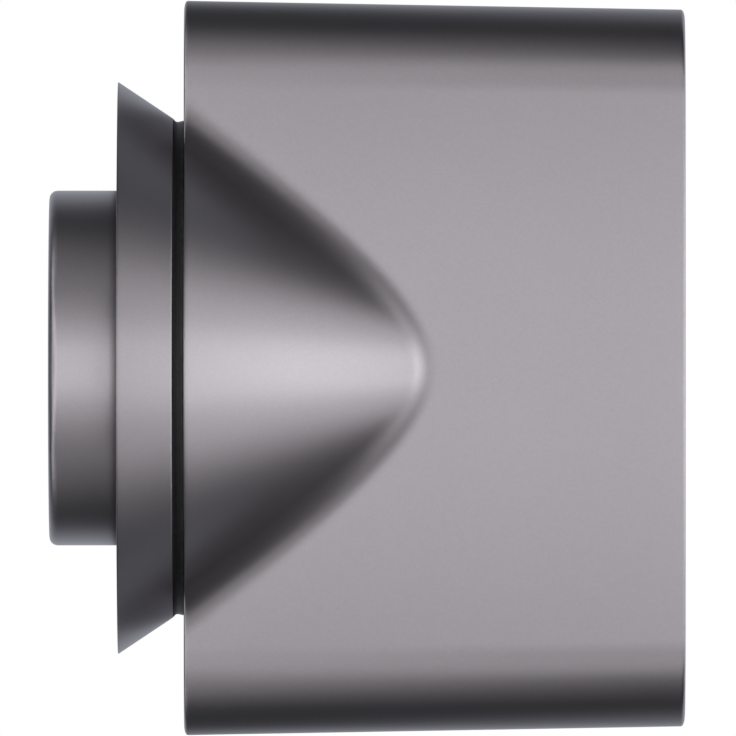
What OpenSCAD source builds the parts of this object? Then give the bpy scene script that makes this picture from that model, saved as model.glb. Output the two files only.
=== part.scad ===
// Slim styling concentrator for a hair dryer.
// A round magnetic collar seats on the front of the dryer. A flat, wide nozzle turns in it,
// and squeezes the dryer's ring of hot air into one thin blade across its outlet slot.
// Frame: +X is the way the air blows, Y runs along the slot, Z is up.
// The origin is on the air axis, in the plane where the collar seats on the dryer.

/* [Plug and inlet] */
// Diameter of the plug that slips into the dryer's bore
plug_d = 44; // [38:0.5:53]
// How far the plug stands out of the collar
plug_len = 8.5; // [6:0.1:12]
// Wall of the plug's sleeve
plug_wall = 1.6; // [1.2:0.1:2.4]
// Width of the ring of hot air around the plug
inlet_gap = 3.2; // [2.6:0.1:5]
// Number of struts that carry the plug across the hot air
strut_count = 6; // [3:1:8]
// Thickness of one strut
strut_t = 1.2; // [0.8:0.1:2]

/* [Collar] */
// Length of the collar along the air axis
collar_len = 6.9; // [6.2:0.1:9]
// Width of the collar's rim outside its magnet recess
collar_rim_w = 3.6; // [3:0.1:5]
// Width of the collar's front face outside its bush
collar_land_w = 3.4; // [2.6:0.1:4]
// Wall of the bush that the neck turns in
bush_wall = 0.82; // [0.6:0.02:1.2]
// Number of magnets
magnet_count = 8; // [4:1:10]
// Size of one magnet along the collar's rim
magnet_l = 9; // [5:0.5:11]
// Size of one magnet across the collar's rim
magnet_w = 2.8; // [2:0.1:3.2]
// Thickness of one magnet
magnet_t = 2.3; // [1.6:0.1:2.6]

/* [Neck] */
// Wall of the neck tube
neck_wall = 1.4; // [1.2:0.1:2]
// Width of the dark groove between collar and nozzle
groove_w = 1.3; // [0.8:0.1:2]
// How far the groove's rim stands out over the back edge of the nozzle's cone
rim_step = 0.2; // [0:0.05:0.3]
// Depth of the hollow turned into the groove's rim
groove_hollow = 0.12; // [0:0.02:0.3]

/* [Nozzle] */
// Length of the nozzle's body
nozzle_len = 62.1; // [50:0.2:80]
// Width of the nozzle at its back face
nozzle_w = 91.1; // [76:0.2:110]
// Width of the nozzle at its outlet
nozzle_front_w = 88.9; // [74:0.2:108]
// Thickness of the nozzle's flat body
nozzle_t = 21; // [17:0.2:26]
// Half angle of the cone that runs into the flat body
cone_angle = 33.8; // [30:0.2:38]
// How much smaller the cone starts than the collar ends
cone_step = 0.45; // [0.2:0.05:1]
// Wall of the outer shells
shell_wall = 1.6; // [1.2:0.1:2]

/* [Duct and slot] */
// Wall of the hot inner duct
duct_wall = 1.2; // [0.9:0.1:1.6]
// Insulating air gap between duct and shells
heat_gap = 1.6; // [1.2:0.1:2]
// Height of the outlet slot
slot_t = 5.6; // [4.6:0.1:7]
// How deep the outlet frame sits behind the shells' front edge
frame_recess = 0.6; // [0.2:0.1:1.5]
// Length of the outlet frame along the air axis
frame_len = 1.7; // [1.2:0.1:3]
// Thickness of one guide vane
vane_t = 0.9; // [0.7:0.1:1.4]
// Length of one guide vane
vane_len = 14; // [8:0.5:16]

/* [Fits] */
// Radial running clearance of the neck in its bush
run_clear = 0.08; // [0.03:0.01:0.1]
// Clearance between pieces that are fixed to each other
fit_clear = 0.05; // [0.03:0.01:0.1]
// Axial play of the collar on the neck
end_play = 0.1; // [0.05:0.01:0.2]

/* [Hidden] */
$fn = 128;
big = 200;

painted = "#8f8b91";
black = "#232326";

// radii, from the air axis outwards
plug_r = plug_d / 2;
hub_r = plug_r - 0.8;
neck_bore_r = plug_r + inlet_gap;
neck_r = neck_bore_r + neck_wall;
bush_bore_r = neck_r + run_clear;
bush_r = bush_bore_r + bush_wall;
carrier_bore_r = bush_r + 0.5;
pocket_wall = 0.5;
magnet_mid_r = carrier_bore_r + pocket_wall + magnet_w / 2;
carrier_r = carrier_bore_r + magnet_w + 2 * pocket_wall + 0.05;
recess_r = carrier_r + fit_clear;
collar_r = recess_r + collar_rim_w;
collar_front_r = bush_r + collar_land_w;
keeper_r = carrier_r - 1;
cone_back_r = collar_front_r - cone_step;

// places along the air axis, from the dryer outwards
seal_t = 0.6;
pocket_skin = 0.5;
magnet_x = seal_t + pocket_skin;
keeper_t = 0.8;
keeper_x = magnet_x + magnet_t;
recess_end_x = keeper_x + keeper_t;
neck_back_x = 0.3;
snap_x = 1;
snap_slot_w = 0.8;
snap_slot_depth = 0.5;
washer_gap = 0.05;
bush_back_x = 2.6;
groove_x = collar_len;
back_x = collar_len + groove_w;
front_x = back_x + nozzle_len;
spigot_len = 1.4;
spigot_r = cone_back_r - 3.05;

// the nozzle's outline
half_t = nozzle_t / 2;
draft = atan((nozzle_w - nozzle_front_w) / 2 / nozzle_len);
side_y = nozzle_w / 2 - half_t;
cone_tan = tan(cone_angle);
cone_cos = cos(cone_angle);
cone_end_r = half_t * 0.35;

// the duct
duct_inset = shell_wall + heat_gap;
void_inset = duct_inset + duct_wall;
duct_front_x = front_x - frame_recess - frame_len;
slot_half = slot_t / 2;
taper_x = cone_x(half_t) + 2;
gasket_t = 0.6;
strut_end_x = collar_len;
tail_x = strut_end_x + gasket_t;
tail_r = neck_bore_r - fit_clear;
tail_bore_r = tail_r - 1.15;
rim_ring_r = tail_r - 0.45;

// the plug and the core behind it
plug_round = 1;
web_t = 1.6;
web_x = 0.2;
spider_hub_r = hub_r + 0.3;
core_x = web_x + web_t;
core_turn_x = back_x - 0.2;
core_nose_r = 2;
core_nose_x = taper_x - 6;
core_wall = 1.4;
boss_r = 3.4;
pilot_r = 1.25;
screw_r = 1.2;
screw_hole_r = 1.7;
screw_head_r = 2.8;
screw_head_t = 2;
screw_len = 13;
plug_floor_x = -1.2;
cap_recess = 0.5;
cap_t = 1.4;

// radius of the nozzle's cone at a place along the air axis, and the place where it has a radius
function cone_r(x) = cone_back_r - (x - back_x) * cone_tan;
function cone_x(r) = back_x + (cone_back_r - r) / cone_tan;
// where a cone that lies inset below the outside has a radius
function inset_cone_x(r, inset) = cone_x(r + inset / cone_cos);
// places on the side round's centre line
function side_y_at(x) = side_y - (x - back_x) * tan(draft);

// local Z becomes the air axis
module on_axis(x = 0) {
    translate([x, 0, 0]) rotate([0, 90, 0]) children();
}

// a solid turned about the air axis, from [radius, place] points
module turned(points) {
    on_axis() rotate_extrude() polygon(points);
}

// in a profile to be turned, what lies on the wrong side of the axis
module past_axis() {
    translate([-big, -big / 2]) square([big, big]);
}

module ring(from_x, to_x, outer_r, inner_r) {
    turned([[inner_r, from_x], [outer_r, from_x], [outer_r, to_x], [inner_r, to_x]]);
}

module rod(from_x, to_x, r) {
    on_axis(from_x) cylinder(r = r, h = to_x - from_x);
}

module slab(from_x, to_x) {
    translate([from_x, -big / 2, -big / 2]) cube([to_x - from_x, big, big]);
}

module above() {
    translate([-big / 2, -big / 2, 0]) cube([big, big, big]);
}

module below() {
    translate([-big / 2, -big / 2, -big]) cube([big, big, big]);
}

// one side of the flat body: a bar with a round edge, which leans in towards the outlet
module side_bar(r) {
    past_middle = 3;
    run_out = 8;
    translate([back_x, side_y, 0]) rotate([0, 0, -draft])
        on_axis(-run_out) linear_extrude(nozzle_len + 2 * run_out) union() {
            translate([-r, -side_y - past_middle]) square([2 * r, side_y + past_middle]);
            rotate(-90) circle(r = r);
        }
}

// the flat body, lying inset below the outside
module slim_body(inset, from_x, to_x) {
    intersection() {
        union() {
            side_bar(half_t - inset);
            mirror([0, 1, 0]) side_bar(half_t - inset);
        }
        slab(from_x, to_x);
    }
}

// the cone that runs from the collar into the flat body, lying inset below the outside
module cone_body(inset, from_x) {
    end_r = cone_end_r - inset * 0.3;
    start_r = cone_r(from_x) - inset / cone_cos;
    on_axis(from_x)
        cylinder(r1 = start_r, r2 = end_r, h = (start_r - end_r) / cone_tan);
}

// everything between two planes that close towards the slot
module taper(front_half) {
    back_half = half_t - void_inset + front_half - slot_half;
    slope = (back_half - front_half) / (duct_front_x - taper_x);
    lead = taper_x - back_x + 5;
    far = 5;
    rotate([90, 0, 0]) linear_extrude(big, center = true) polygon([
        [taper_x - lead, back_half + lead * slope], [duct_front_x + far, front_half - far * slope],
        [duct_front_x + far, -front_half + far * slope], [taper_x - lead, -back_half - lead * slope]
    ]);
}

module shell_form() {
    slim_body(0, back_x, front_x);
    cone_body(0, back_x);
}

module shell_cavity() {
    slim_body(shell_wall, back_x + shell_wall, front_x + 1);
    cone_body(shell_wall, back_x + spigot_len + 0.1);
    rod(back_x - 1, back_x + spigot_len + 0.1, spigot_r + fit_clear);
}

module duct_form() {
    intersection() {
        slim_body(duct_inset, back_x + duct_inset, duct_front_x);
        taper(slot_half + duct_wall);
    }
    cone_body(duct_inset, inset_cone_x(tail_r, duct_inset));
    rod(tail_x, inset_cone_x(tail_r, duct_inset), tail_r);
}

module duct_void() {
    intersection() {
        slim_body(void_inset, back_x + void_inset, duct_front_x + 1);
        taper(slot_half);
    }
    cone_body(void_inset, inset_cone_x(tail_bore_r, void_inset));
    rod(tail_x - 1, inset_cone_x(tail_bore_r, void_inset), tail_bore_r);
}

// ---- collar ----

module collar_ring() {
    color(painted) turned([
        [bush_r, recess_end_x], [keeper_r + fit_clear, recess_end_x],
        [keeper_r + fit_clear, keeper_x], [recess_r, keeper_x], [recess_r, seal_t],
        [collar_r - 1.3, seal_t], [collar_r - 1.3, 0], [collar_r, 0],
        [collar_front_r, collar_len], [bush_r, collar_len]
    ]);
}

module collar_bush() {
    color("#d9d6cc") ring(bush_back_x, collar_len, bush_r, bush_bore_r);
}

module at_magnets() {
    for (i = [0 : magnet_count - 1])
        rotate([360 / magnet_count * i, 0, 0])
            translate([magnet_x, -magnet_l / 2, magnet_mid_r - magnet_w / 2]) children();
}

module magnet_carrier() {
    color(black) difference() {
        ring(seal_t, keeper_x, carrier_r, carrier_bore_r);
        at_magnets() translate([0, -fit_clear, -fit_clear])
            cube([magnet_t + 1, magnet_l + 2 * fit_clear, magnet_w + 2 * fit_clear]);
    }
}

module magnets() {
    color("#9a9ba0") at_magnets() cube([magnet_t, magnet_l, magnet_w]);
}

module keeper_ring() {
    color("#7c7d80") ring(keeper_x, recess_end_x, keeper_r, carrier_bore_r + 0.1);
}

module seat_seal() {
    color("#2f2f33") ring(0, seal_t, collar_r - 1.3 - fit_clear, carrier_bore_r - 0.8);
}

// ---- neck and its retention ----

module neck_tube() {
    snap_floor_r = neck_r - snap_slot_depth;
    rim_r = cone_back_r + rim_step;
    play_x = groove_x + end_play;
    color(black) turned([
        [neck_bore_r, neck_back_x], [neck_r, neck_back_x], [neck_r, snap_x],
        [snap_floor_r, snap_x], [snap_floor_r, snap_x + snap_slot_w],
        [neck_r, snap_x + snap_slot_w], [neck_r, play_x], [collar_front_r, play_x],
        [rim_r - groove_hollow, (play_x + back_x) / 2], [rim_r, back_x],
        [spigot_r, back_x], [spigot_r, back_x + spigot_len], [neck_bore_r, back_x + spigot_len]
    ]);
}

module snap_ring() {
    opening = 5;
    color("#b3b5b8") difference() {
        ring(snap_x + fit_clear, snap_x + snap_slot_w - fit_clear,
             bush_r + 0.1, neck_r - snap_slot_depth + fit_clear);
        translate([0, -opening / 2, neck_r - 3]) cube([5, opening, 6]);
    }
}

// a thin ring that rises and falls three times on its way round
module wave_washer() {
    steps = 72;
    waves = 3;
    t = 0.25;
    inner_r = neck_r + 0.15;
    outer_r = bush_r + 0.05;
    low_x = snap_x + snap_slot_w + washer_gap;
    high_x = bush_back_x - washer_gap - t;
    function rise(i) = (low_x + high_x) / 2 + (high_x - low_x) / 2 * cos(waves * 360 * i / steps);
    function point(i, r, dx) = let (a = 360 * i / steps) [rise(i) + dx, r * cos(a), r * sin(a)];
    section = [[inner_r, 0], [outer_r, 0], [outer_r, t], [inner_r, t]];
    points = [for (i = [0 : steps - 1]) for (s = section) point(i, s[0], s[1])];
    faces = [for (i = [0 : steps - 1]) for (k = [0 : 3])
        let (a = 4 * i, b = 4 * ((i + 1) % steps), m = (k + 1) % 4)
            for (f = [[a + k, a + m, b + m], [a + k, b + m, b + k]]) f];
    color("#b3b5b8") polyhedron(points, faces);
}

// ---- plug, struts and core ----

module plug_sleeve() {
    inner_r = plug_r - plug_wall;
    color(painted) difference() {
        on_axis() rotate_extrude() difference() {
            union() {
                translate([0, -plug_len + plug_round]) square([plug_r, plug_len - plug_round]);
                translate([0, -plug_len]) square([plug_r - plug_round, plug_round]);
                translate([plug_r - plug_round, -plug_len + plug_round]) circle(r = plug_round);
                square([hub_r, web_x]);
            }
            translate([-1, -plug_len - 1]) square([inner_r + 1, plug_len + 1 + plug_floor_x]);
            past_axis();
        }
        rod(plug_floor_x - 1, web_x + 1, screw_hole_r);
    }
}

module plug_cap() {
    cap_x = cap_recess - plug_len;
    cap_r = plug_r - plug_wall - fit_clear;
    dish_depth = 0.9;
    dish_r = cap_r - 2.2;
    ball_r = (dish_r * dish_r + dish_depth * dish_depth) / (2 * dish_depth);
    rim_depth = 3;
    color(painted) on_axis() rotate_extrude() difference() {
        translate([0, cap_x]) union() {
            square([dish_r + 1, cap_t + dish_depth]);
            translate([dish_r, 0]) square([cap_r - dish_r, rim_depth]);
        }
        translate([0, cap_x + dish_depth - ball_r]) circle(r = ball_r, $fn = 1440);
        past_axis();
    }
}

module core_screw() {
    cross_w = 0.7;
    color("#a8aaad") {
        difference() {
            union() {
                rod(plug_floor_x - screw_head_t, plug_floor_x, screw_head_r);
                rod(plug_floor_x - 0.1, plug_floor_x + screw_len, screw_r);
            }
            for (turn = [0, 90]) rotate([turn, 0, 0])
                translate([plug_floor_x - screw_head_t - 1, -cross_w / 2, -screw_head_r * 0.65])
                    cube([2.1, cross_w, screw_head_r * 1.3]);
        }
    }
}

module inlet_spider() {
    overlap = 0.2;
    strut_x = web_x + 0.4;
    strut_foot_r = hub_r + fit_clear;
    color(black) difference() {
        union() {
            rod(web_x, core_x, spider_hub_r);
            ring(strut_x, strut_end_x, tail_r, rim_ring_r);
            for (i = [0 : strut_count - 1]) rotate([360 / strut_count * (i + 0.5), 0, 0])
                translate([strut_x, -strut_t / 2, strut_foot_r])
                    cube([strut_end_x - strut_x, strut_t, rim_ring_r + overlap - strut_foot_r]);
        }
        rod(web_x - 1, core_x + 1, screw_hole_r);
    }
}

module flow_core() {
    slope = (hub_r - core_nose_r) / (core_nose_x - core_turn_x);
    inner_turn_r = hub_r - core_wall;
    inner_end_x = core_turn_x + (inner_turn_r - boss_r) / slope;
    color(black) on_axis() rotate_extrude() difference() {
        union() {
            polygon([
                [0, core_x], [hub_r, core_x], [hub_r, core_turn_x],
                [core_nose_r, core_nose_x], [0, core_nose_x]
            ]);
            translate([0, core_nose_x - core_nose_r * slope]) circle(r = core_nose_r / cos(atan(slope)));
        }
        polygon([
            [boss_r, core_x - 1], [inner_turn_r, core_x - 1],
            [inner_turn_r, core_turn_x], [boss_r, inner_end_x]
        ]);
        translate([-1, core_x - 1]) square([pilot_r + 1, screw_len + 1]);
        past_axis();
    }
}

// ---- duct ----

module duct_gasket() {
    color("#7b3a34") ring(strut_end_x, tail_x, tail_r, tail_bore_r);
}

module duct() {
    difference() {
        duct_form();
        duct_void();
    }
}

module duct_upper() {
    color("#3a3a3e") intersection() {
        duct();
        above();
    }
}

module duct_lower() {
    color("#3a3a3e") intersection() {
        duct();
        below();
    }
}

module guide_vanes() {
    end_x = duct_front_x - 4.5;
    pitch = side_y_at(end_x) * 0.4;
    fan = 3;
    color(black) intersection() {
        duct_void();
        for (i = [-1.5 : 1 : 1.5]) translate([end_x - vane_len, i * pitch, 0]) rotate([0, 0, i * fan])
            translate([0, -vane_t / 2, -half_t]) cube([vane_len, vane_t, nozzle_t]);
    }
}

module outlet_frame() {
    color(black) difference() {
        slim_body(shell_wall + fit_clear, duct_front_x, duct_front_x + frame_len);
        intersection() {
            slim_body(void_inset, duct_front_x - 1, duct_front_x + frame_len + 1);
            cube([big, big, slot_t], center = true);
        }
    }
}

// ---- what holds shells and duct together ----

module duct_standoffs() {
    post_r = 2;
    x = (taper_x + duct_front_x) / 2;
    y_step = side_y_at(x) * 0.72;
    color("#c9c4b8") difference() {
        intersection() {
            slim_body(shell_wall, back_x + shell_wall, duct_front_x);
            for (i = [-1 : 1]) translate([x, i * y_step, -half_t]) cylinder(r = post_r, h = nozzle_t);
        }
        duct_form();
    }
}

module seam_strips() {
    strip_t = heat_gap / 2;
    strip_h = half_t * 0.7;
    from_x = back_x + shell_wall + 3;
    to_x = duct_front_x - 2;
    inset = shell_wall + fit_clear;
    color("#3a3a3e") intersection() {
        difference() {
            slim_body(inset, from_x, to_x);
            slim_body(inset + strip_t, from_x - 1, to_x + 1);
        }
        cube([big, big, strip_h], center = true);
        difference() {
            cube([big, big, big], center = true);
            cube([big * 2, 2 * side_y, big * 2], center = true);
        }
    }
}

module shell() {
    difference() {
        shell_form();
        shell_cavity();
    }
}

module shell_upper() {
    color(painted) intersection() {
        shell();
        above();
    }
}

module shell_lower() {
    color(painted) intersection() {
        shell();
        below();
    }
}

collar_ring();
collar_bush();
magnet_carrier();
magnets();
keeper_ring();
seat_seal();
neck_tube();
snap_ring();
wave_washer();
plug_sleeve();
plug_cap();
core_screw();
inlet_spider();
flow_core();
duct_gasket();
duct_upper();
duct_lower();
guide_vanes();
outlet_frame();
duct_standoffs();
seam_strips();
shell_upper();
shell_lower();
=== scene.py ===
import math
import bmesh
import bpy
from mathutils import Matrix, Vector, kdtree


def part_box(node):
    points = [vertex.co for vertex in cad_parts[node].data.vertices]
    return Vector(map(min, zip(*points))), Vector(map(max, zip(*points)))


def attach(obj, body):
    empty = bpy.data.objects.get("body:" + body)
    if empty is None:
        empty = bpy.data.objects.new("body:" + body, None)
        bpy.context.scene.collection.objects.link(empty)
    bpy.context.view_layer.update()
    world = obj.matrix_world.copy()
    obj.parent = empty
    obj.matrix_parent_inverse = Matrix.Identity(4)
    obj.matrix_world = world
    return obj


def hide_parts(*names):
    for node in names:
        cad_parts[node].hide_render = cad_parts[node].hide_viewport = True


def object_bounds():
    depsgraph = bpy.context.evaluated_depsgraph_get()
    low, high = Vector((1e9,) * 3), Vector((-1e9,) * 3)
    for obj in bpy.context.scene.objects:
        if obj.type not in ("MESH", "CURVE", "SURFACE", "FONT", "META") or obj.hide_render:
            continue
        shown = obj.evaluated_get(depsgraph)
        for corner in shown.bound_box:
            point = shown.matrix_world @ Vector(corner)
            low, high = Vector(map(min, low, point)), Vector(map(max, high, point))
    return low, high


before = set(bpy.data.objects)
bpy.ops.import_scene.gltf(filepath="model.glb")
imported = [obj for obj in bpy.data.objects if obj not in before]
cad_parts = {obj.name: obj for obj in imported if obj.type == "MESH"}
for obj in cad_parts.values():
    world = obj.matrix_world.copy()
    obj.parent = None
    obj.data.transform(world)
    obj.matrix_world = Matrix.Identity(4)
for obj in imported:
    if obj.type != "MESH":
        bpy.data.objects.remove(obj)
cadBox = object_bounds()
print("frame loaded with", len(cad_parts), "nodes")

mm = 0.001
turnSteps = 192


# node groups that the finishes share

def newGroup(name, inputs, outputs):
    group = bpy.data.node_groups.new(name, "ShaderNodeTree")
    for socketName, value in inputs.items():
        kind = "NodeSocketVector" if socketName == "Vector" else "NodeSocketFloat"
        socket = group.interface.new_socket(name=socketName, in_out="INPUT", socket_type=kind)
        if value is not None:
            socket.default_value = value
    for socketName in outputs:
        group.interface.new_socket(name=socketName, in_out="OUTPUT", socket_type="NodeSocketFloat")
    return group, group.nodes.new("NodeGroupInput"), group.nodes.new("NodeGroupOutput")


def noiseNode(tree, vector, scale, detail=2.0, roughness=0.5):
    noise = tree.nodes.new("ShaderNodeTexNoise")
    noise.inputs["Detail"].default_value = detail
    noise.inputs["Roughness"].default_value = roughness
    tree.links.new(vector, noise.inputs["Vector"])
    if isinstance(scale, (int, float)):
        noise.inputs["Scale"].default_value = scale
    else:
        tree.links.new(scale, noise.inputs["Scale"])
    return noise.outputs["Fac"]


def mathNode(tree, operation, first, second, clamp=False):
    node = tree.nodes.new("ShaderNodeMath")
    node.operation = operation
    node.use_clamp = clamp
    for socket, value in zip(node.inputs, (first, second)):
        if isinstance(value, (int, float)):
            socket.default_value = value
        else:
            tree.links.new(value, socket)
    return node.outputs[0]


def rangeNode(tree, value, fromMin, fromMax, toMin=0.0, toMax=1.0):
    node = tree.nodes.new("ShaderNodeMapRange")
    for name, limit in zip(("From Min", "From Max", "To Min", "To Max"), (fromMin, fromMax, toMin, toMax)):
        if isinstance(limit, (int, float)):
            node.inputs[name].default_value = limit
        else:
            tree.links.new(limit, node.inputs[name])
    tree.links.new(value, node.inputs["Value"])
    return node.outputs["Result"]


def makeGrainGroup():
    # fine moulded or sprayed grain, with a slow unevenness under it
    slowShare = 0.06
    group, inside, out = newGroup(
        "surfaceGrain", {"Vector": None, "Scale": 4000.0, "Waviness": 0.3}, ("Height", "Fleck"))
    fine = noiseNode(group, inside.outputs["Vector"], inside.outputs["Scale"], 3.0, 0.6)
    slowScale = mathNode(group, "MULTIPLY", inside.outputs["Scale"], slowShare)
    slow = noiseNode(group, inside.outputs["Vector"], slowScale, 1.0)
    slowPart = mathNode(group, "MULTIPLY", slow, inside.outputs["Waviness"])
    height = mathNode(group, "ADD", fine, slowPart)
    group.links.new(height, out.inputs["Height"])
    cells = group.nodes.new("ShaderNodeTexVoronoi")
    group.links.new(inside.outputs["Vector"], cells.inputs["Vector"])
    group.links.new(inside.outputs["Scale"], cells.inputs["Scale"])
    fleck = group.nodes.new("ShaderNodeSeparateColor")
    group.links.new(cells.outputs["Color"], fleck.inputs["Color"])
    group.links.new(fleck.outputs["Red"], out.inputs["Fleck"])
    return group


def makeWearAndHighlightGroup():
    # how far an edge is rubbed, and its painted edge highlight, broken up so that it isn't even
    flatPointiness = 0.5
    wearAndHighlightStart = 0.505
    patchRange = (0.35, 0.65)
    group, inside, out = newGroup(
        "edgeWearAndHighlight", {"Vector": None, "Reach": 0.06, "Breakup": 900.0}, ("Mask",))
    shape = group.nodes.new("ShaderNodeNewGeometry")
    limit = mathNode(group, "ADD", inside.outputs["Reach"], flatPointiness)
    # convex edges found by pointiness: rubbed wear and a painted edge highlight
    edge = rangeNode(group, shape.outputs["Pointiness"], wearAndHighlightStart, limit)
    patches = noiseNode(group, inside.outputs["Vector"], inside.outputs["Breakup"], 3.0, 0.6)
    broken = rangeNode(group, patches, *patchRange)
    mask = mathNode(group, "MULTIPLY", edge, broken, clamp=True)
    group.links.new(mask, out.inputs["Mask"])
    return group


def makeHandlingGroup():
    # faint smudges from fingers, and specks of dust
    smudgeScale, speckScale = 38.0, 2600.0
    smudgeRange = (0.3, 0.7)
    speckRange = (0.74, 0.8)
    group, inside, out = newGroup(
        "handling", {"Vector": None, "Smudge": 0.5, "Dust": 0.2}, ("Rough", "Specks"))
    broad = noiseNode(group, inside.outputs["Vector"], smudgeScale, 4.0, 0.6)
    centred = rangeNode(group, broad, *smudgeRange, -0.5, 0.5)
    group.links.new(mathNode(group, "MULTIPLY", centred, inside.outputs["Smudge"]), out.inputs["Rough"])
    small = noiseNode(group, inside.outputs["Vector"], speckScale, 1.0)
    specks = rangeNode(group, small, *speckRange)
    dusted = mathNode(group, "MULTIPLY", specks, inside.outputs["Dust"], clamp=True)
    group.links.new(dusted, out.inputs["Specks"])
    return group


grainGroup = makeGrainGroup()
wearAndHighlightGroup = makeWearAndHighlightGroup()
handlingGroup = makeHandlingGroup()


def placeGroup(tree, group, coordinates, **values):
    node = tree.nodes.new("ShaderNodeGroup")
    node.node_tree = group
    tree.links.new(coordinates, node.inputs["Vector"])
    for name, value in values.items():
        node.inputs[name].default_value = value
    return node


def mixColour(tree, factor, first, second):
    node = tree.nodes.new("ShaderNodeMix")
    node.data_type = "RGBA"
    tree.links.new(factor, node.inputs["Factor"])
    for socket, value in ((node.inputs["A"], first), (node.inputs["B"], second)):
        if isinstance(value, tuple):
            socket.default_value = (*value, 1.0)
        else:
            tree.links.new(value, socket)
    return node.outputs["Result"]


dustColour = (0.55, 0.54, 0.52)


def makeFinish(name, finish):
    # one finish: its colour and its fleck, rubbed edges that also carry a painted edge highlight, dust,
    # uneven gloss and grain
    material = bpy.data.materials.new(name)
    material.use_nodes = True
    tree = material.node_tree
    shader = tree.nodes["Principled BSDF"]
    place = tree.nodes.new("ShaderNodeTexCoord").outputs["Object"]
    grain = placeGroup(tree, grainGroup, place, Scale=finish["grainScale"], Waviness=finish["waviness"])
    wearAndHighlight = placeGroup(tree, wearAndHighlightGroup, place, Reach=finish["wearAndHighlightReach"])
    handling = placeGroup(tree, handlingGroup, place, Smudge=finish["smudge"], Dust=finish["dust"])
    flecked = mixColour(tree, grain.outputs["Fleck"], finish["colour"], finish["fleck"])
    # convex edges turn lighter: partly rubbed wear, partly a painted edge highlight
    wornAndHighlit = mixColour(tree, wearAndHighlight.outputs["Mask"], flecked, finish["wornAndHighlit"])
    dusty = mixColour(tree, handling.outputs["Specks"], wornAndHighlit, dustColour)
    tree.links.new(dusty, shader.inputs["Base Color"])
    gloss = mathNode(tree, "ADD", handling.outputs["Rough"], finish["roughness"])
    tree.links.new(gloss, shader.inputs["Roughness"])
    bump = tree.nodes.new("ShaderNodeBump")
    bump.inputs["Strength"].default_value = finish["grainStrength"]
    bump.inputs["Distance"].default_value = finish["grainDepth"] * mm
    tree.links.new(grain.outputs["Height"], bump.inputs["Height"])
    tree.links.new(bump.outputs["Normal"], shader.inputs["Normal"])
    shader.inputs["Metallic"].default_value = finish.get("metallic", 0.0)
    shader.inputs["Specular IOR Level"].default_value = finish.get("specular", 0.5)
    return material


# each finish's edge colour is the lighter tone of its rubbed edges and also serves as a painted edge
# highlight
plainFinish = {
    "colour": (0.02, 0.02, 0.022), "fleck": (0.024, 0.024, 0.026), "wornAndHighlit": (0.06, 0.06, 0.062),
    "roughness": 0.45, "smudge": 0.06, "dust": 0.1, "wearAndHighlightReach": 0.08,
    "grainScale": 2600.0, "waviness": 0.3, "grainStrength": 0.25, "grainDepth": 0.05,
}
satinPaint = dict(
    plainFinish, colour=(0.40, 0.376, 0.402), fleck=(0.42, 0.395, 0.422), wornAndHighlit=(0.47, 0.443, 0.473),
    roughness=0.36, smudge=0.03, dust=0.0, wearAndHighlightReach=0.05, metallic=1.0,
    grainScale=5200.0, waviness=0.15, grainStrength=0.12, grainDepth=0.012)
finishes = {
    "satinPaint": satinPaint,
    "collarPaint": dict(
        satinPaint, colour=(0.358, 0.336, 0.36), fleck=(0.376, 0.353, 0.378), wornAndHighlit=(0.42, 0.395, 0.423)),
    "blackNylon": dict(
        plainFinish, colour=(0.008, 0.008, 0.009), fleck=(0.011, 0.011, 0.012), wornAndHighlit=(0.03, 0.03, 0.031),
        specular=0.22),
    "ductNylon": dict(
        plainFinish, colour=(0.045, 0.045, 0.048), fleck=(0.055, 0.055, 0.058), wornAndHighlit=(0.1, 0.1, 0.1),
        roughness=0.55, grainStrength=0.35),
    "naturalAcetal": dict(
        plainFinish, colour=(0.72, 0.70, 0.64), fleck=(0.74, 0.72, 0.66), wornAndHighlit=(0.78, 0.77, 0.72),
        roughness=0.38),
    "softSeal": dict(
        plainFinish, colour=(0.03, 0.03, 0.032), fleck=(0.034, 0.034, 0.036), wornAndHighlit=(0.055, 0.055, 0.057),
        roughness=0.62, dust=0.35, grainScale=1800.0, grainStrength=0.3),
    "gasketSilicone": dict(
        plainFinish, colour=(0.25, 0.05, 0.04), fleck=(0.27, 0.06, 0.045), wornAndHighlit=(0.33, 0.1, 0.08),
        roughness=0.5),
    "standoffSilicone": dict(
        plainFinish, colour=(0.6, 0.57, 0.5), fleck=(0.62, 0.59, 0.52), wornAndHighlit=(0.68, 0.66, 0.6),
        roughness=0.55),
    "nickelPlate": dict(
        plainFinish, colour=(0.60, 0.59, 0.56), fleck=(0.63, 0.62, 0.59), wornAndHighlit=(0.7, 0.7, 0.68),
        roughness=0.2, metallic=1.0, grainStrength=0.1),
    "springSteel": dict(
        plainFinish, colour=(0.52, 0.52, 0.53), fleck=(0.56, 0.56, 0.57), wornAndHighlit=(0.66, 0.66, 0.67),
        roughness=0.3, metallic=1.0, grainStrength=0.2),
}
paints = {name: makeFinish(name, finish) for name, finish in finishes.items()}
print("finishes made:", len(paints))


# making pieces

smoothAngle = math.radians(32)


def makePiece(bm, name, body, finish, node):
    mesh = bpy.data.meshes.new(name)
    bm.to_mesh(mesh)
    bm.free()
    mesh.shade_smooth()
    mesh.set_sharp_from_angle(angle=smoothAngle)
    mesh.materials.append(paints[finish])
    piece = bpy.data.objects.new(name, mesh)
    bpy.context.scene.collection.objects.link(piece)
    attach(piece, body)
    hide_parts(node)
    print("made", name, "with", len(mesh.polygons), "faces")


def withSupports(profile, distance):
    # adds a point near both ends of each long stretch, so that a rounded edge
    # doesn't bend the shading beyond it
    points = []
    for start, end in zip(profile, profile[1:] + profile[:1]):
        points.append(start)
        length = math.dist(start, end)
        if length > 2.5 * distance:
            for share in (distance / length, 1 - distance / length):
                points.append(tuple(a + (b - a) * share for a, b in zip(start, end)))
    return points


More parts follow.
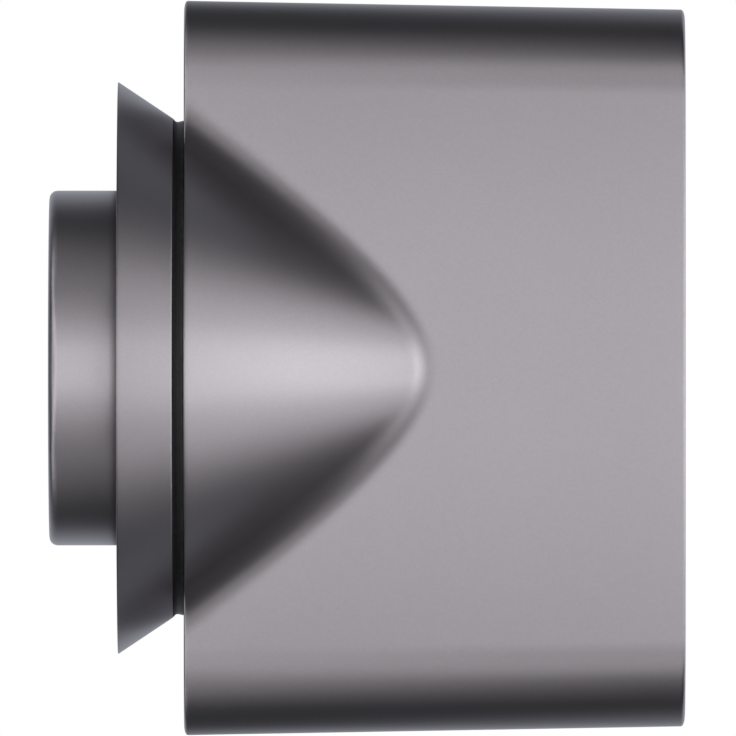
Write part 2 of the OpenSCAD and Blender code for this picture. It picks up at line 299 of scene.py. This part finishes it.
def turnProfile(profile, support=0.35):
    # turns a closed outline of (place, radius) points in mm about the air axis
    bm = bmesh.new()
    outline = [bm.verts.new((place * mm, 0, radius * mm))
               for place, radius in withSupports(profile, support)]
    edges = [bm.edges.new(pair) for pair in zip(outline, outline[1:] + outline[:1])]
    bmesh.ops.spin(
        bm, geom=outline + edges, cent=(0, 0, 0), axis=(1, 0, 0), angle=math.tau,
        steps=turnSteps, use_merge=True)
    bmesh.ops.remove_doubles(bm, verts=bm.verts, dist=1e-7)
    bmesh.ops.delete(bm, geom=[edge for edge in bm.edges if edge.is_wire], context="EDGES")
    bmesh.ops.recalc_face_normals(bm, faces=bm.faces)
    return bm


def bevelEdges(bm, edges, width, segments=4):
    bmesh.ops.bevel(
        bm, geom=edges, offset=width * mm, offset_type="OFFSET", segments=segments, profile=0.5,
        affect="EDGES", material=-1)


def roundRings(bm, rings):
    # rounds the edges that lie on each (place, radius) ring by its width
    for place, radius, width in rings:
        edges = [edge for edge in bm.edges if all(
            abs(vert.co.x - place * mm) < 1e-6 and abs(math.hypot(vert.co.y, vert.co.z) - radius * mm) < 1e-6
            for vert in edge.verts)]
        bevelEdges(bm, edges, width)


def softenedCopy(node, width):
    # a CAD node's shape with its sharp edges broken
    segments, sharpAngle, flatAngle = 3, math.radians(35), math.radians(0.5)
    bm = bmesh.new()
    bm.from_mesh(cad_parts[node].data)
    bmesh.ops.remove_doubles(bm, verts=bm.verts, dist=2e-6)
    bmesh.ops.dissolve_limit(bm, angle_limit=flatAngle, verts=bm.verts, edges=bm.edges)
    sharp = [edge for edge in bm.edges
             if len(edge.link_faces) == 2 and edge.calc_face_angle(0) > sharpAngle]
    bevelEdges(bm, sharp, width, segments)
    return bm


# outer shells

shellLow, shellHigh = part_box("shell_upper")
nozzle = {
    "backX": shellLow.x, "frontX": shellHigh.x,
    "halfWidth": shellHigh.y, "frontHalfWidth": 44.45 * mm,
    "halfThickness": 10.5 * mm,
    "coneRadius": 30.45 * mm, "coneAngle": math.radians(33.8), "coneFillet": 5.6 * mm,
    "wall": 1.5 * mm, "neckHole": 27.45 * mm,
    # each end's edge: how far it runs along the nozzle and into its width,
    # on the flat faces and at the sides
    "backEdge": {"along": (0.25 * mm, 0.45 * mm), "inwards": (0.25 * mm, 1.2 * mm)},
    "frontEdge": {"along": (0.25 * mm, 0.5 * mm), "inwards": (0.25 * mm, 1.25 * mm)},
    "edgeSteps": 6, "seamGroove": 0.06 * mm, "seamAngle": 0.5,
    "roundColumns": 26, "middleColumns": 168,
}
coneTan = math.tan(nozzle["coneAngle"])
coneCos = math.cos(nozzle["coneAngle"])
sideY = nozzle["halfWidth"] - nozzle["halfThickness"]
sideSlope = (nozzle["halfWidth"] - nozzle["frontHalfWidth"]) / (nozzle["frontX"] - nozzle["backX"])
ballHeight = nozzle["halfThickness"] + nozzle["coneFillet"]


def sideCentre(x):
    return sideY - (x - nozzle["backX"]) * sideSlope


def offsetConeRadius(x, offset):
    # radius of a cone that lies offset outside the nozzle's cone
    return nozzle["coneRadius"] - (x - nozzle["backX"]) * coneTan + offset / coneCos


def makeBallPath():
    # the line that a ball's centre follows as it rolls in the corner between cone and flat face
    tipX = nozzle["backX"] + (offsetConeRadius(nozzle["backX"], nozzle["coneFillet"]) - ballHeight) / coneTan
    lead, steps = 8 * mm, 1600
    startX = nozzle["backX"] - lead
    points = []
    for i in range(steps + 1):
        x = tipX - (tipX - startX) * (i / steps) ** 2
        y = math.sqrt(max(offsetConeRadius(x, nozzle["coneFillet"]) ** 2 - ballHeight ** 2, 0))
        points += [(x, y), (x, -y)]
    tree = kdtree.KDTree(len(points))
    for i, (x, y) in enumerate(points):
        tree.insert((x, y, 0), i)
    tree.balance()
    return tree


ballPath = makeBallPath()


def topHeight(x, y, inset):
    # height of the flat face with its cone, or of the wall's inner side at that inset
    flat = nozzle["halfThickness"] - inset
    if math.hypot(y, ballHeight) >= offsetConeRadius(x, nozzle["coneFillet"]):
        return flat
    nearest, _, distance = ballPath.find((x, y, 0))
    ballRadius = nozzle["coneFillet"] + inset
    lean = coneCos * ballHeight / offsetConeRadius(nearest.x, nozzle["coneFillet"])
    if distance < ballRadius * math.sqrt(1 - lean ** 2):
        return ballHeight - math.sqrt(ballRadius ** 2 - distance ** 2)
    return math.sqrt(max(offsetConeRadius(x, -inset) ** 2 - y ** 2, flat ** 2))


def seamDistance(column):
    # columns from the seam on this side, and the way that side points
    columns = 2 * nozzle["roundColumns"] + nozzle["middleColumns"]
    return (column, -1) if column * 2 < columns else (columns - column, 1)


def sectionPoint(column, x, inset):
    # one point of the upper half's outline: round side, flat face with the cone, round side
    rounds, middle = nozzle["roundColumns"], nozzle["middleColumns"]
    fromSeam, side = seamDistance(column)
    centre = sideCentre(x)
    if fromSeam >= rounds:
        y = centre * (2 * (column - rounds) / middle - 1)
        return Vector((x, y, topHeight(x, y, inset)))
    angle = math.radians(90 * fromSeam / rounds if fromSeam != 1 else nozzle["seamAngle"])
    radius = nozzle["halfThickness"] - inset - (nozzle["seamGroove"] if fromSeam == 0 else 0)
    return Vector((x, side * (centre + radius * math.cos(angle)), radius * math.sin(angle)))


def edgePoint(column, end, step):
    # one point of an end's rounded edge, from step 0 on the outside to the last step on the end face
    edge, endX, inwards = {
        "back": (nozzle["backEdge"], nozzle["backX"], 1),
        "front": (nozzle["frontEdge"], nozzle["frontX"], -1),
    }[end]
    fromSeam, _ = seamDistance(column)
    sideShare = math.cos(math.pi / 2 * min(fromSeam / nozzle["roundColumns"], 1)) ** 2
    along, depth = (flat + (atSide - flat) * sideShare for flat, atSide in (edge["along"], edge["inwards"]))
    turn = math.pi / 2 * step / nozzle["edgeSteps"]
    x = endX + inwards * along * (1 - math.sin(turn))
    return sectionPoint(column, x, depth * (1 - math.cos(turn)))


def spaced(start, end, step):
    count = max(1, round(abs(end - start) / step))
    return [start + (end - start) * i / count for i in range(count + 1)]


def makeShellStations():
    # where each row of the shell lies: (kind, value), from the neck's hole round the outside and back inside
    tipX, edgeRoom = 41 * mm, 0.6 * mm
    outerSteps = {"cone": 0.42 * mm, "flat": 1.6 * mm}
    innerSteps = {"cone": 1.2 * mm, "flat": 3 * mm}
    backRows, innerRows = 4, 3
    backX, frontX = nozzle["backX"], nozzle["frontX"]
    innerX = backX + nozzle["wall"]
    outside = spaced(backX + edgeRoom, tipX, outerSteps["cone"])
    outside += spaced(tipX, frontX - edgeRoom, outerSteps["flat"])[1:]
    inside = spaced(frontX, tipX, innerSteps["flat"]) + spaced(tipX, innerX, innerSteps["cone"])[1:]
    edgeSteps = nozzle["edgeSteps"]
    rows = [("backFace", i / backRows) for i in range(backRows)]
    rows += [("back", edgeSteps - i) for i in range(edgeSteps + 1)] + [("outer", x) for x in outside]
    rows += [("front", i) for i in range(edgeSteps + 1)] + [("inner", x) for x in inside]
    rows += [("innerFace", i / innerRows) for i in range(1, innerRows + 1)] + [("backFace", 0)]
    return rows


def holePoint(rim, x):
    # the neck hole's point at the same angle as a point on the rim
    across = math.hypot(rim.y, rim.z)
    return Vector((x, rim.y * nozzle["neckHole"] / across, rim.z * nozzle["neckHole"] / across))


def shellPoint(column, kind, value):
    innerX = nozzle["backX"] + nozzle["wall"]
    if kind == "outer":
        return sectionPoint(column, value, 0)
    if kind == "inner":
        return sectionPoint(column, value, nozzle["wall"])
    if kind == "backFace":
        rim = edgePoint(column, "back", nozzle["edgeSteps"])
        return holePoint(rim, nozzle["backX"]).lerp(rim, value)
    if kind == "innerFace":
        rim = sectionPoint(column, innerX, nozzle["wall"])
        return rim.lerp(holePoint(rim, innerX), value)
    return edgePoint(column, kind, value)


def makeShellHalf():
    rows = makeShellStations()
    columns = 2 * nozzle["roundColumns"] + nozzle["middleColumns"]
    bm = bmesh.new()
    bmesh.ops.create_grid(bm, x_segments=columns, y_segments=len(rows) - 1, size=0.5)
    for vert in bm.verts:
        column = round((vert.co.x + 0.5) * columns)
        kind, value = rows[round((vert.co.y + 0.5) * (len(rows) - 1))]
        vert.co = shellPoint(column, kind, value)
    bmesh.ops.remove_doubles(bm, verts=bm.verts, dist=1e-6)
    bmesh.ops.holes_fill(bm, edges=[edge for edge in bm.edges if edge.is_boundary], sides=0)
    bmesh.ops.recalc_face_normals(bm, faces=bm.faces)
    return bm


def makeShells():
    upper = makeShellHalf()
    lower = upper.copy()
    bmesh.ops.scale(lower, vec=(1, 1, -1), verts=lower.verts)
    bmesh.ops.reverse_faces(lower, faces=lower.faces)
    makePiece(upper, "shellUpper", "nozzle", "satinPaint", "shell_upper")
    makePiece(lower, "shellLower", "nozzle", "satinPaint", "shell_lower")


makeShells()


# collar, seal and neck

def boxInMm(node):
    low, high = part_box(node)
    return low / mm, high / mm


_, collarHigh = boxInMm("collar_ring")
_, sealHigh = boxInMm("seat_seal")
neckLow, neckHigh = boxInMm("neck_tube")
collar = {
    "length": collarHigh.x, "rearRadius": collarHigh.y, "frontRadius": 30.9, "bore": 27.5,
    "recessRadius": 31.9, "recessEnd": 4.2, "keeperX": 3.4, "sealGap": 0.05,
    "rearEdge": 0.12, "frontEdge": 0.15, "boreEdge": 0.1,
}
seal = {
    "thickness": sealHigh.x, "inner": 27.2, "outer": 34.15, "outerEdge": 0.15, "innerEdge": 0.2,
    "grooves": (32.3, 29.2), "depth": 0.16, "width": 0.35,
}
neck = {
    "bore": 25.2, "radius": 26.6, "backX": neckLow.x, "ringX": 1.0, "ringSlot": 0.8, "ringDepth": 0.5,
    "rimX": collarHigh.x + 0.02, "rimRadius": neckHigh.y, "rimEnd": nozzle["backX"] / mm,
    "hollow": ((0, 0), (0.06, 0.15), (0.15, 0.28), (0.25, 0.34), (0.36, 0.37), (0.5, 0.35), (0.65, 0.31),
               (0.8, 0.25), (1, 0.25)),
    "spigot": 27.4, "spigotEnd": neckHigh.x, "backEdge": 0.12, "boreEdge": 0.3,
}


def makeCollarRing():
    c = collar
    sealRoom = seal["outer"] + c["sealGap"]
    bm = turnProfile([
        (c["recessEnd"], c["bore"]), (c["recessEnd"], c["frontRadius"]), (c["keeperX"], c["frontRadius"]),
        (c["keeperX"], c["recessRadius"]), (seal["thickness"], c["recessRadius"]),
        (seal["thickness"], sealRoom), (0, sealRoom), (0, c["rearRadius"]),
        (c["length"], c["frontRadius"]), (c["length"], c["bore"]),
    ])
    roundRings(bm, [
        (0, c["rearRadius"], c["rearEdge"]), (0, sealRoom, c["rearEdge"]),
        (c["length"], c["frontRadius"], c["frontEdge"]), (c["length"], c["bore"], c["boreEdge"]),
    ])
    makePiece(bm, "collarRing", "collar", "collarPaint", "collar_ring")


def makeSeatSeal():
    # a soft ring with two fine grooves in the face that seats on the dryer
    s = seal
    outline = [(s["thickness"], s["outer"]), (0, s["outer"])]
    for radius in s["grooves"]:
        outline += [(0, radius + s["width"]), (s["depth"], radius + s["width"] / 2),
                    (s["depth"], radius - s["width"] / 2), (0, radius - s["width"])]
    outline += [(0, s["inner"]), (s["thickness"], s["inner"])]
    bm = turnProfile(outline)
    roundRings(bm, [(0, s["outer"], s["outerEdge"]), (0, s["inner"], s["innerEdge"])])
    makePiece(bm, "seatSeal", "collar", "softSeal", "seat_seal")


def makeNeck():
    n = neck
    grooveLength = n["rimEnd"] - n["rimX"]
    groove = [(n["rimX"] + grooveLength * along, n["rimRadius"] - depth) for along, depth in n["hollow"]]
    slotFloor = n["radius"] - n["ringDepth"]
    bm = turnProfile([
        (n["backX"], n["bore"]), (n["backX"], n["radius"]), (n["ringX"], n["radius"]),
        (n["ringX"], slotFloor), (n["ringX"] + n["ringSlot"], slotFloor),
        (n["ringX"] + n["ringSlot"], n["radius"]), (n["rimX"], n["radius"]), *groove,
        (n["rimEnd"], n["spigot"]), (n["spigotEnd"], n["spigot"]), (n["spigotEnd"], n["bore"]),
    ])
    roundRings(bm, [(n["backX"], n["radius"], n["backEdge"]), (n["backX"], n["bore"], n["boreEdge"])])
    makePiece(bm, "neckTube", "nozzle", "blackNylon", "neck_tube")


makeCollarRing()
makeSeatSeal()
makeNeck()


# plug

sleeveLow, sleeveHigh = boxInMm("plug_sleeve")
capLow, capHigh = boxInMm("plug_cap")
plug = {
    "radius": sleeveHigh.y, "rearX": sleeveLow.x, "wall": 1.6, "floorX": -1.2, "hubRadius": 21.2,
    "hubEnd": sleeveHigh.x, "screwHole": 1.7, "rearRound": 1.0, "boreEdge": 0.2, "frontEdge": 0.15,
    "support": 1.1,
}
cap = {
    "radius": capHigh.y, "rearX": capLow.x, "depth": 3.0, "floor": 2.3, "dishDepth": 0.9, "dishMargin": 2.2,
    "dishSteps": 14, "dishRound": 0.5, "rimEdge": 0.2,
}


def makePlugSleeve():
    p = plug
    bore = p["radius"] - p["wall"]
    bm = turnProfile([
        (p["rearX"], bore), (p["rearX"], p["radius"]), (0, p["radius"]), (0, p["hubRadius"]),
        (p["hubEnd"], p["hubRadius"]), (p["hubEnd"], p["screwHole"]), (p["floorX"], p["screwHole"]),
        (p["floorX"], bore),
    ], support=p["support"])
    roundRings(bm, [
        (p["rearX"], p["radius"], p["rearRound"]), (p["rearX"], bore, p["boreEdge"]),
        (0, p["radius"], p["frontEdge"]),
    ])
    makePiece(bm, "plugSleeve", "nozzle", "satinPaint", "plug_sleeve")


def makePlugCap():
    c = cap
    dishRadius = c["radius"] - c["dishMargin"]
    ballRadius = (dishRadius ** 2 + c["dishDepth"] ** 2) / (2 * c["dishDepth"])
    dish = []
    for i in range(c["dishSteps"]):
        radius = dishRadius * i / c["dishSteps"]
        depth = math.sqrt(ballRadius ** 2 - radius ** 2) - (ballRadius - c["dishDepth"])
        dish.append((c["rearX"] + depth, radius))
    bm = turnProfile(dish + [
        (c["rearX"], dishRadius), (c["rearX"], c["radius"]), (c["rearX"] + c["depth"], c["radius"]),
        (c["rearX"] + c["depth"], dishRadius), (c["rearX"] + c["floor"], dishRadius),
        (c["rearX"] + c["floor"], 0),
    ])
    roundRings(bm, [(c["rearX"], c["radius"], c["rimEdge"]), (c["rearX"], dishRadius, c["dishRound"])])
    makePiece(bm, "plugCap", "nozzle", "satinPaint", "plug_cap")


makePlugSleeve()
makePlugCap()


# moulded inner pieces that show through the openings

softened = {
    "inlet_spider": ("inletSpider", 0.15),
    "outlet_frame": ("outletFrame", 0.3),
    "guide_vanes": ("guideVanes", 0.25),
}
for node, (name, width) in softened.items():
    makePiece(softenedCopy(node, width), name, "nozzle", "blackNylon", node)

cadFinishes = {
    "flow_core": "blackNylon", "magnet_carrier": "blackNylon",
    "duct_upper": "ductNylon", "duct_lower": "ductNylon", "seam_strips": "ductNylon",
    "keeper_ring": "springSteel", "snap_ring": "springSteel", "wave_washer": "springSteel",
    "core_screw": "springSteel", "magnets": "nickelPlate", "collar_bush": "naturalAcetal",
    "duct_gasket": "gasketSilicone", "duct_standoffs": "standoffSilicone",
}
for node, finish in cadFinishes.items():
    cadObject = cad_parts[node]
    cadObject.data.materials.clear()
    cadObject.data.materials.append(paints[finish])
print("CAD nodes painted:", len(cadFinishes))


# floor, lights and camera

studio = {
    "floorSize": 6.0, "floorGap": 0.3 * mm, "floorGlow": 0.045, "floorTint": (0.94, 1.0, 1.08, 1),
    "ambient": 0.004, "white": (1, 1, 1, 1), "lensLength": 1600.0, "sensorWidth": 36.0,
    "viewCentreX": 31.0 * mm, "viewWidth": 91.3 * mm,
}
# the floor lies below the whole swing of the nozzle
floorHeight = min(cadBox[0].y, cadBox[0].z) - studio["floorGap"]
# bright places on the floor: centre along X and reach in mm, glow
floorPools = [(35, 115, 0.75), (-80, 150, 0.41), (250, 300, 0.83)]
# softboxes: name, place, aim and size in mm, glow; one that hangs off to a side has a twin on the other
softboxes = [
    ("highSides", (7, 137, 428), (31, 0, 0), 160, 0.71),
    ("frontSides", (99, 255, 364), (31, 0, 0), 160, 0.69),
    ("midSides", (-15, 260, 364), (31, 0, 0), 160, 0.35),
    ("lowSides", (-32, 359, 265), (31, 0, 0), 160, 0.36),
    ("outletSides", (438, 190, 31), (31, 0, 0), 160, 0.99),
    ("nearSides", (31, 188, 78), (31, 0, 10), 100, 0.10),
    ("plugTop", (-20, 0, 130), (-20, 0, 0), 58, 1.23),
    ("bodyTop", (30, 0, 130), (30, 0, 0), 58, 0.40),
    ("outletTop", (80, 0, 220), (80, 0, 0), 99, 0.89),
    ("lowCone", (110, 0, 45), (22, 0, 20), 50, 1.05),
    ("highCone", (110, 0, 75), (22, 0, 20), 50, 1.33),
    ("coneSides", (110, 45, 75), (22, 0, 20), 50, 0.69),
    ("lowConeSides", (150, 45, 45), (22, 0, 20), 50, 0.75),
    ("wideCone", (110, 90, 50), (22, 0, 20), 60, 0.05),
    ("collarSides", (-30, 100, 30), (0, 0, 10), 50, 0.19),
    ("tipHigh", (256, 0, 390), (31, 0, 0), 160, 0.75),
    ("rearMid", (-303, 0, 301), (31, 0, 0), 200, 0.85),
    ("rearLow", (-404, 0, 116), (31, 0, 0), 200, 0.24),
    ("rearSidesTop", (-153, 129, 390), (31, 0, 0), 200, 1.16),
    ("rearSidesMid", (-259, 203, 277), (31, 0, 0), 200, 1.07),
    ("rearSidesLow", (-280, 311, 94), (31, 0, 0), 200, 0.86),
    ("rearFlank", (-114, 397, 154), (31, 0, 0), 160, 0.20),
]


def makeFloor():
    bm = bmesh.new()
    bmesh.ops.create_grid(bm, x_segments=1, y_segments=1, size=studio["floorSize"])
    bmesh.ops.translate(bm, vec=(0, 0, floorHeight), verts=bm.verts)
    mesh = bpy.data.meshes.new("floor")
    bm.to_mesh(mesh)
    bm.free()
    floor = bpy.data.objects.new("floor", mesh)
    bpy.context.scene.collection.objects.link(floor)
    material = bpy.data.materials.new("paleFloor")
    material.use_nodes = True
    tree = material.node_tree
    tree.nodes.clear()
    output = tree.nodes.new("ShaderNodeOutputMaterial")
    choose = tree.nodes.new("ShaderNodeMixShader")
    tree.links.new(tree.nodes.new("ShaderNodeLightPath").outputs["Is Camera Ray"], choose.inputs["Fac"])
    glow = tree.nodes.new("ShaderNodeEmission")
    glow.inputs["Color"].default_value = studio["floorTint"]
    place = tree.nodes.new("ShaderNodeTexCoord").outputs["Object"]
    strength = studio["floorGlow"]
    for centre, reach, level in floorPools:
        distance = tree.nodes.new("ShaderNodeVectorMath")
        distance.operation = "DISTANCE"
        distance.inputs[1].default_value = (centre * mm, 0, floorHeight)
        tree.links.new(place, distance.inputs[0])
        pool = rangeNode(tree, distance.outputs["Value"], 0.0, reach * mm, level, 0.0)
        pool.node.interpolation_type = "SMOOTHSTEP"
        strength = mathNode(tree, "ADD", pool, strength)
    tree.links.new(strength, glow.inputs["Strength"])
    seen = tree.nodes.new("ShaderNodeEmission")
    seen.inputs["Color"].default_value = studio["white"]
    seen.inputs["Strength"].default_value = 1.0
    tree.links.new(glow.outputs["Emission"], choose.inputs[1])
    tree.links.new(seen.outputs["Emission"], choose.inputs[2])
    tree.links.new(choose.outputs["Shader"], output.inputs["Surface"])
    mesh.materials.append(material)


def makeWorld():
    world = bpy.data.worlds.new("studioWorld")
    bpy.context.scene.world = world
    world.use_nodes = True
    tree = world.node_tree
    background = tree.nodes["Background"]
    seen = tree.nodes.new("ShaderNodeBackground")
    choose = tree.nodes.new("ShaderNodeMixShader")
    background.inputs["Color"].default_value = studio["white"]
    background.inputs["Strength"].default_value = studio["ambient"]
    seen.inputs["Color"].default_value = studio["white"]
    seen.inputs["Strength"].default_value = 1.0
    tree.links.new(tree.nodes.new("ShaderNodeLightPath").outputs["Is Camera Ray"], choose.inputs["Fac"])
    tree.links.new(background.outputs["Background"], choose.inputs[1])
    tree.links.new(seen.outputs["Background"], choose.inputs[2])
    tree.links.new(choose.outputs["Shader"], tree.nodes["World Output"].inputs["Surface"])


def makeSoftbox(name, placeInMm, aimInMm, sizeInMm, glow):
    place, aim, size = Vector(placeInMm) * mm, Vector(aimInMm) * mm, sizeInMm * mm
    light = bpy.data.lights.new(name, "AREA")
    light.shape = "SQUARE"
    light.size = size
    light.energy = glow * math.pi * size * size
    box = bpy.data.objects.new(name, light)
    bpy.context.scene.collection.objects.link(box)
    box.location = place
    box.rotation_mode = "QUATERNION"
    box.rotation_quaternion = (place - aim).to_track_quat("Z", "Y")
    box.visible_camera = False


def makeCamera():
    camera = bpy.data.cameras.new("camera")
    camera.lens = studio["lensLength"]
    camera.sensor_width = studio["sensorWidth"]
    holder = bpy.data.objects.new("camera", camera)
    bpy.context.scene.collection.objects.link(holder)
    distance = studio["viewWidth"] * camera.lens / camera.sensor_width
    holder.location = (studio["viewCentreX"], 0, distance)
    bpy.context.scene.camera = holder


makeFloor()
makeWorld()
for name, place, aim, size, glow in softboxes:
    makeSoftbox(name, place, aim, size, glow)
    x, y, z = place
    if y:
        makeSoftbox(name + "Twin", (x, -y, z), aim, size, glow)
makeCamera()
bpy.context.scene.view_settings.view_transform = "Standard"
print("studio ready")
